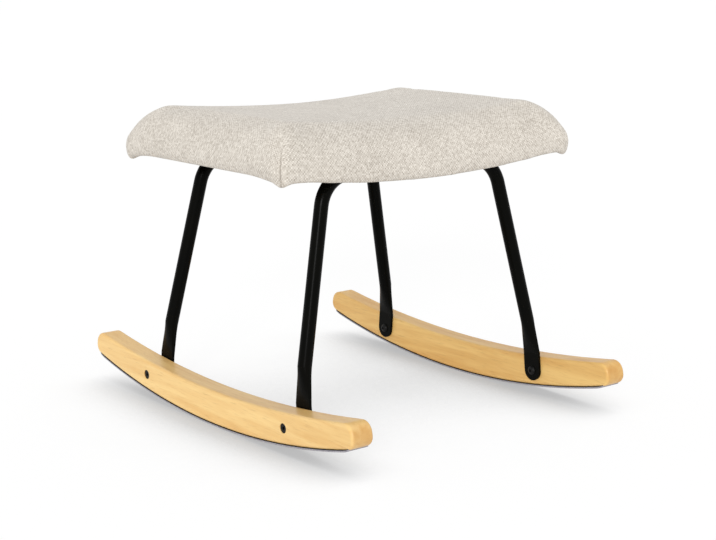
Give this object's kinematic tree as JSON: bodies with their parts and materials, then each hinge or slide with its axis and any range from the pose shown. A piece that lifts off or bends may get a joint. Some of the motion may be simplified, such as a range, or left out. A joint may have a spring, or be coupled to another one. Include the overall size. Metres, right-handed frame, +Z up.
{
  "type": "rocking footstool",
  "caption": "Rocking footstool: padded saddle seat on black bent-tube leg frames and curved wooden rockers.",
  "frame": {"origin": "on the floor below the middle of the seat", "axes": "+Z up; X across the two rockers, along the seat's longer side; Y along the rockers, front at -Y"},
  "size_m": [0.536, 0.659, 0.4442],
  "materials": {
    "fabric": "woven melange",
    "foam": "open-cell foam",
    "plywood": "unfinished",
    "rail_wood": "unfinished",
    "dust_cloth": "non-woven",
    "rocker_wood": "satin lacquer",
    "felt": "pressed felt",
    "black_steel": "semi-gloss powder coat",
    "black_fastener": "black oxide",
    "zinc_fastener": "zinc plated",
    "black_plastic": "moulded"
  },
  "bodies": {
    "root": {"seat_cover": "fabric", "foam_pad": "foam", "seat_board": "plywood", "front_rail": "rail_wood", "rear_rail": "rail_wood", "left_rail": "rail_wood", "right_rail": "rail_wood", "dust_cover": "dust_cloth", "cover_staples": "zinc_fastener", "tee_nuts": "zinc_fastener", "frame_screws": "black_fastener", "saddle_spacers": "black_plastic", "front_leg_frame": "black_steel", "rear_leg_frame": "black_steel", "rocker_bolts": "black_fastener", "sleeve_nuts": "black_fastener", "left_rocker": "rocker_wood", "right_rocker": "rocker_wood", "left_felt_strip": "felt", "right_felt_strip": "felt"}
  },
  "joints": []
}
